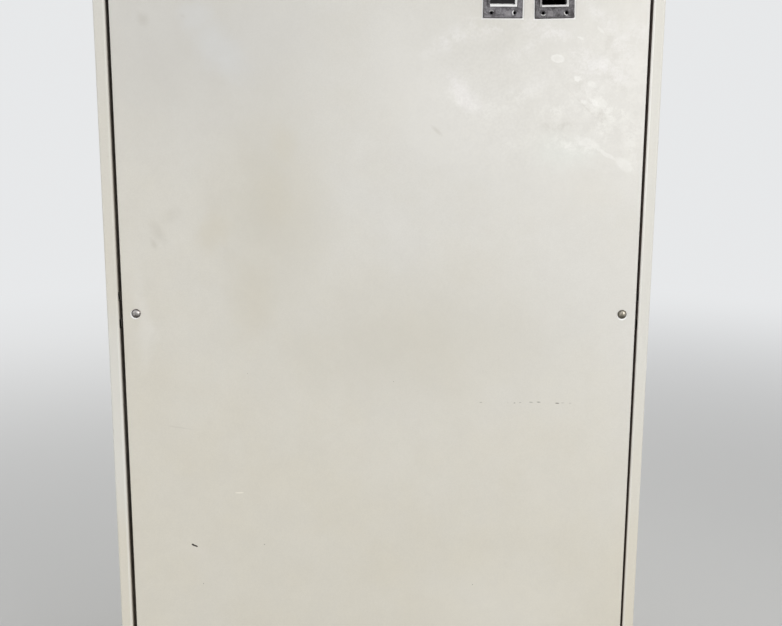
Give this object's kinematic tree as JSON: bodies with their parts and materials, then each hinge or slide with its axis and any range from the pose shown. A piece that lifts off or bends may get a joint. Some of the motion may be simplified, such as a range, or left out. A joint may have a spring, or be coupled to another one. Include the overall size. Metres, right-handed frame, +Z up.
{
  "type": "control panel enclosure",
  "caption": "Floor-standing sheet-steel control cabinet with an inset lift-off cover on quarter-turn fasteners, window bezels and an inner device panel.",
  "frame": {"origin": "on the floor, at the centre of the four floor bolt holes and of the shell's footprint", "axes": "+X to the right seen from the front, +Y to the back, +Z up"},
  "size_m": [0.762, 0.6134, 1.524],
  "materials": {
    "shell_paint": "textured off-white powder coat",
    "cover_paint": "smooth off-white powder coat, lightly yellowed",
    "bezel_casting": "grey die casting with a mottled skin",
    "lens_tint": "dark smoked pane",
    "gasket_foam": "closed-cell black foam",
    "fastener_steel": "bright zinc plate, turned",
    "clip_steel": "black oxide spring steel",
    "zinc_steel": "bright zinc plate",
    "panel_steel": "gloss white enamel",
    "duct_plastic": "grey extruded plastic",
    "device_plastic": "black moulded plastic",
    "contactor_plastic": "light grey moulded plastic",
    "terminal_plastic": "beige moulded plastic",
    "core_steel": "varnished steel laminations",
    "coil_wrap": "amber insulating tape",
    "earth_brass": "bare brass"
  },
  "bodies": {
    "cabinet": {"left_side_panel": "shell_paint", "right_side_panel": "shell_paint", "top_panel": "shell_paint", "base_panel": "shell_paint", "rear_panel": "shell_paint", "gland_plate_gasket": "gasket_foam", "gland_plate": "shell_paint", "gland_plate_screws": "zinc_steel", "mounting_panel": "panel_steel", "panel_studs": "zinc_steel", "panel_spacers": "zinc_steel", "panel_nuts": "zinc_steel", "upper_din_rail": "zinc_steel", "lower_din_rail": "zinc_steel", "rail_screws": "zinc_steel", "contactor_left": "contactor_plastic", "contactor_right": "contactor_plastic", "terminal_blocks": "terminal_plastic", "terminal_end_stops": "device_plastic", "upper_wire_duct": "duct_plastic", "lower_wire_duct": "duct_plastic", "upper_duct_lid": "duct_plastic", "lower_duct_lid": "duct_plastic", "main_breaker": "device_plastic", "transformer_core": "core_steel", "transformer_coil": "coil_wrap", "earth_bar": "earth_brass", "earth_bar_posts": "zinc_steel", "earth_bar_screws": "zinc_steel", "clip_left_top": "clip_steel", "clip_left_middle": "clip_steel", "clip_left_bottom": "clip_steel", "clip_right_top": "clip_steel", "clip_right_middle": "clip_steel", "clip_right_bottom": "clip_steel"},
    "front_cover": {"front_cover": "cover_paint", "cover_stiffener_left": "cover_paint", "cover_stiffener_right": "cover_paint", "cover_gasket": "gasket_foam", "left_bezel": "bezel_casting", "right_bezel": "bezel_casting", "left_bezel_retainer": "zinc_steel", "right_bezel_retainer": "zinc_steel", "left_lens": "lens_tint"},
    "breaker_toggle": {"breaker_toggle": "device_plastic"},
    "fastener_left_top": {"fastener_left_top": "fastener_steel", "retainer_left_top": "zinc_steel"},
    "fastener_left_middle": {"fastener_left_middle": "fastener_steel", "retainer_left_middle": "zinc_steel"},
    "fastener_left_bottom": {"fastener_left_bottom": "fastener_steel", "retainer_left_bottom": "zinc_steel"},
    "fastener_right_top": {"fastener_right_top": "fastener_steel", "retainer_right_top": "zinc_steel"},
    "fastener_right_middle": {"fastener_right_middle": "fastener_steel", "retainer_right_middle": "zinc_steel"},
    "fastener_right_bottom": {"fastener_right_bottom": "fastener_steel", "retainer_right_bottom": "zinc_steel"}
  },
  "joints": [
    {"name": "cover_lift_off", "type": "slide", "parent": "cabinet", "child": "front_cover", "axis": [0, -1, 0], "range_m": [0, 0.3]},
    {"name": "breaker_toggle_throw", "type": "hinge", "parent": "cabinet", "child": "breaker_toggle", "pos_m": [-0.19, 0.2025, 1.28], "axis": [1, 0, 0], "range_deg": [0, 50]},
    {"name": "fastener_left_top_turn", "type": "hinge", "parent": "front_cover", "child": "fastener_left_top", "pos_m": [-0.34081, -0.305, 1.38158], "axis": [0, 1, 0], "range_deg": [0, 90]},
    {"name": "fastener_left_middle_turn", "type": "hinge", "parent": "front_cover", "child": "fastener_left_middle", "pos_m": [-0.34005, -0.305, 0.76158], "axis": [0, 1, 0], "range_deg": [0, 90]},
    {"name": "fastener_left_bottom_turn", "type": "hinge", "parent": "front_cover", "child": "fastener_left_bottom", "pos_m": [-0.33929, -0.305, 0.14158], "axis": [0, 1, 0], "range_deg": [0, 90]},
    {"name": "fastener_right_top_turn", "type": "hinge", "parent": "front_cover", "child": "fastener_right_top", "pos_m": [0.34109, -0.305, 1.38242], "axis": [0, 1, 0], "range_deg": [0, 90]},
    {"name": "fastener_right_middle_turn", "type": "hinge", "parent": "front_cover", "child": "fastener_right_middle", "pos_m": [0.34185, -0.305, 0.76242], "axis": [0, 1, 0], "range_deg": [0, 90]},
    {"name": "fastener_right_bottom_turn", "type": "hinge", "parent": "front_cover", "child": "fastener_right_bottom", "pos_m": [0.34261, -0.305, 0.14242], "axis": [0, 1, 0], "range_deg": [0, 90]}
  ]
}
